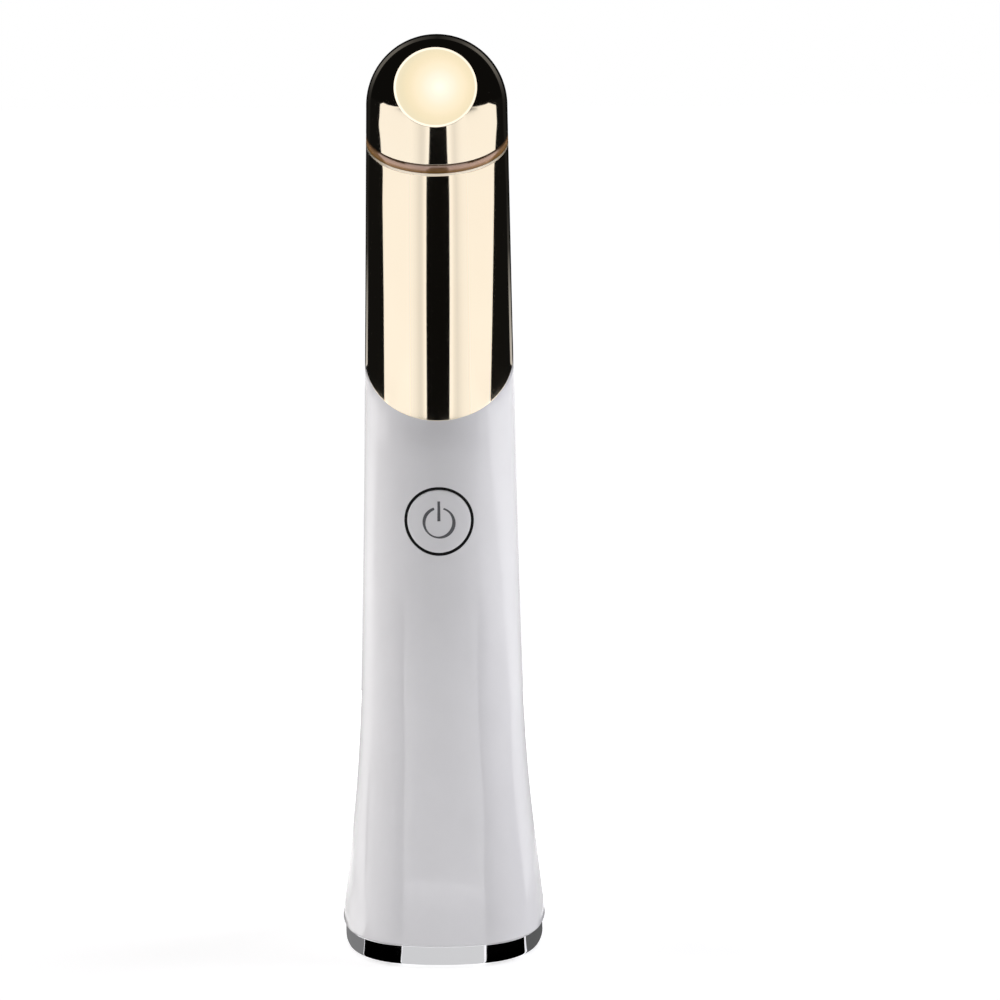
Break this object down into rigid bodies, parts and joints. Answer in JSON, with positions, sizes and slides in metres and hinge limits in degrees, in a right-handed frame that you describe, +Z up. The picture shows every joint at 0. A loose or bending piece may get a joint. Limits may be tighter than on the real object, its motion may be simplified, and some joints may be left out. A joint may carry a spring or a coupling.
{
  "type": "heated eye massager wand",
  "caption": "Slim cordless wand with a heated gold head whose flat face massages round the eyes, a gold sleeve, a flared white grip, a power button and a chrome foot.",
  "frame": {"origin": "centre of the underside, on the surface it stands on", "axes": "+Z up along the wand to the head, the power button and the head's flat face towards -Y, +X to the right seen from the front"},
  "size_m": [0.031, 0.031, 0.1374],
  "materials": {
    "plated_gold": "polished gold plate",
    "gold_shell": "polished gold",
    "smoked_plastic": "translucent brown",
    "white_gloss": "glossy",
    "black_silicone": "satin",
    "chrome_trim": "mirror",
    "grey_plastic": "fine texture",
    "grey_rubber": "matte",
    "steel": "zinc plated",
    "socket_steel": "satin",
    "board_green": "solder mask",
    "black_plastic": "satin",
    "cell_wrap": "shrink wrap",
    "foam_rubber": "foam",
    "frame_plastic": "moulded",
    "heater_amber": "polyimide film"
  },
  "bodies": {
    "wand": {"head_cap": "plated_gold", "gold_sleeve": "gold_shell", "insulating_ring": "smoked_plastic", "main_housing": "white_gloss", "button_seal": "black_silicone", "base_trim": "chrome_trim", "base_plate": "grey_plastic", "base_pad": "grey_rubber", "base_screws": "steel", "charging_board": "board_green", "charging_socket_shell": "socket_steel", "charging_socket_tongue": "black_plastic", "battery_cell": "cell_wrap", "battery_foam": "foam_rubber", "inner_frame": "frame_plastic", "circuit_board": "board_green", "board_components": "black_plastic", "board_screws": "steel", "switch_body": "black_plastic", "motor_can": "socket_steel", "motor_boot": "black_silicone", "heater_film": "heater_amber", "temperature_sensor": "black_plastic", "head_carrier": "frame_plastic"},
    "power_button": {"power_button": "white_gloss", "switch_plunger": "frame_plastic"},
    "motor_rotor": {"motor_shaft": "steel", "eccentric_weight": "steel"}
  },
  "joints": [
    {"name": "power_button_press", "type": "slide", "parent": "wand", "child": "power_button", "axis": [0, 1, 0], "range_m": [0, 0.0004], "stiffness_N_per_m": 2000},
    {"name": "motor_spin", "type": "hinge", "parent": "wand", "child": "motor_rotor", "pos_m": [0, 0, 0.11], "axis": [0, 0, 1], "continuous": true}
  ]
}
